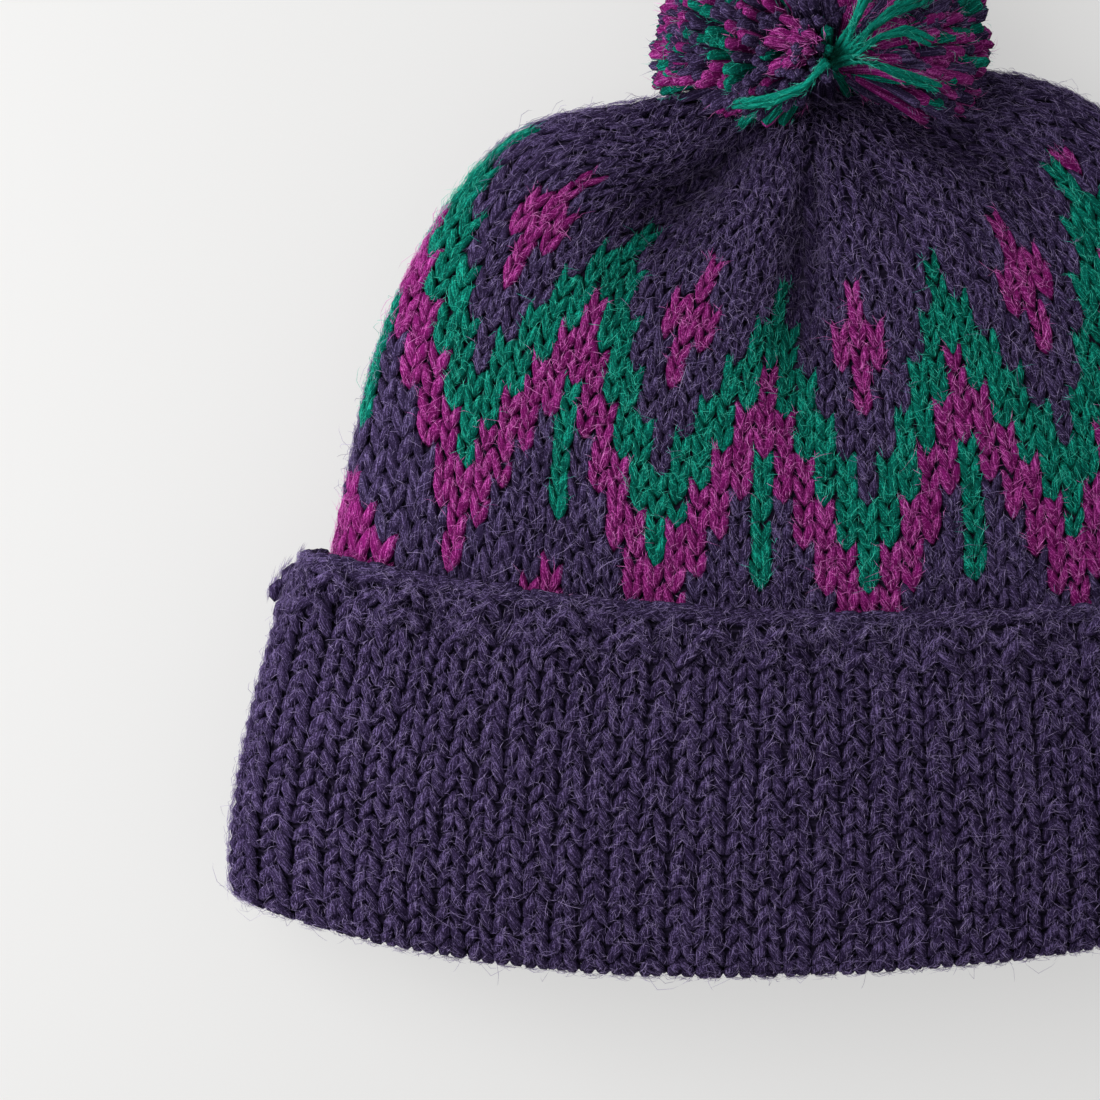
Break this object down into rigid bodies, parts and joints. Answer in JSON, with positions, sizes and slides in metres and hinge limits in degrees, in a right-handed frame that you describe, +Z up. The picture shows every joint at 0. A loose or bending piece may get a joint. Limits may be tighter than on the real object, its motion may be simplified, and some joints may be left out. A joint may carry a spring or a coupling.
{
  "type": "knit hat",
  "caption": "Knitted winter hat lying flat, with a turned-up plain cuff, a zigzag colourwork crown gathered at the top and a tied yarn pompom.",
  "frame": {"origin": "on the table that the hat lies on, below the middle of its bounding box", "axes": "+Z up, out of the front of the lying hat; +Y from the mouth towards the pompom; +X to the hat's right edge as seen from above"},
  "size_m": [0.2634, 0.2406, 0.0714],
  "materials": {
    "purple_wool": "matte, hairy plied wool",
    "magenta_wool": "matte, hairy plied wool",
    "green_wool": "matte, hairy plied wool"
  },
  "bodies": {
    "root": {"crown": "purple_wool", "cuff": "purple_wool", "pompom": "magenta_wool", "pompom_tie": "green_wool"}
  },
  "joints": []
}
